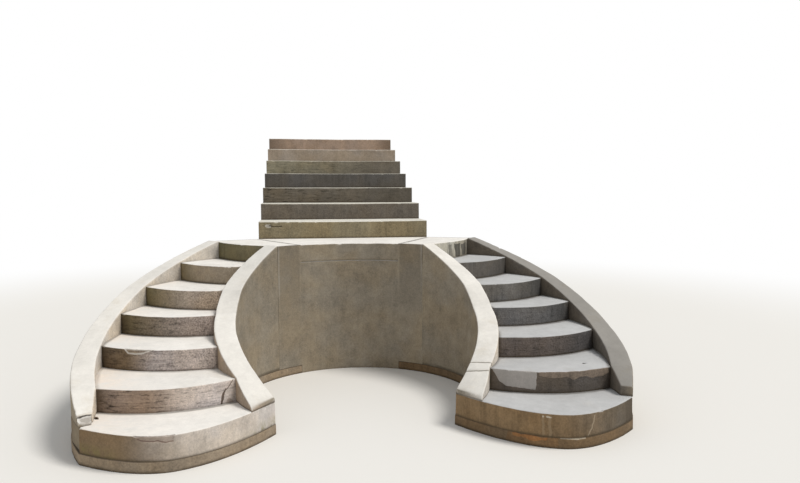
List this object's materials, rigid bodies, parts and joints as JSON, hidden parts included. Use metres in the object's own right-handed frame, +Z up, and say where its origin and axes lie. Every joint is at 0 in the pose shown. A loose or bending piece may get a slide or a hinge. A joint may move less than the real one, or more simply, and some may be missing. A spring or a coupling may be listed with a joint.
{
  "type": "double garden stair",
  "caption": "Outdoor stone steps: two mirrored curved flights with bowed treads between low strings round an open bed, meeting at a landing with a straight flight behind.",
  "frame": {"origin": "centre of the stair's outline at ground level, under the middle of its overall box", "axes": "+Z up; +Y into the hill, the way the steps climb; +X to the right of someone facing the steps, who sees the left flight on the -X side"},
  "size_m": [4.0246, 6.0476, 2.34],
  "materials": {
    "flight_steps": "weathered render, rough",
    "string": "weathered render, rough",
    "footing": "stained render, rough",
    "upper_steps": "weathered render, rough",
    "retaining_wall": "weathered render, rough"
  },
  "bodies": {
    "root": {"left_footing": "footing", "left_step_1": "flight_steps", "left_step_2": "flight_steps", "left_step_3": "flight_steps", "left_step_4": "flight_steps", "left_step_5": "flight_steps", "left_step_6": "flight_steps", "left_step_7": "flight_steps", "left_inner_toe": "string", "left_outer_toe": "string", "left_inner_string": "string", "left_outer_string": "string", "right_footing": "footing", "right_step_1": "flight_steps", "right_step_2": "flight_steps", "right_step_3": "flight_steps", "right_step_4": "flight_steps", "right_step_5": "flight_steps", "right_step_6": "flight_steps", "right_step_7": "flight_steps", "right_inner_toe": "string", "right_outer_toe": "string", "right_inner_string": "string", "right_outer_string": "string", "landing_wall": "retaining_wall", "landing_slab": "upper_steps", "upper_core": "retaining_wall", "upper_step_1": "upper_steps", "upper_step_2": "upper_steps", "upper_step_3": "upper_steps", "upper_step_4": "upper_steps", "upper_step_5": "upper_steps", "upper_step_6": "upper_steps", "upper_step_7": "upper_steps"}
  },
  "joints": []
}
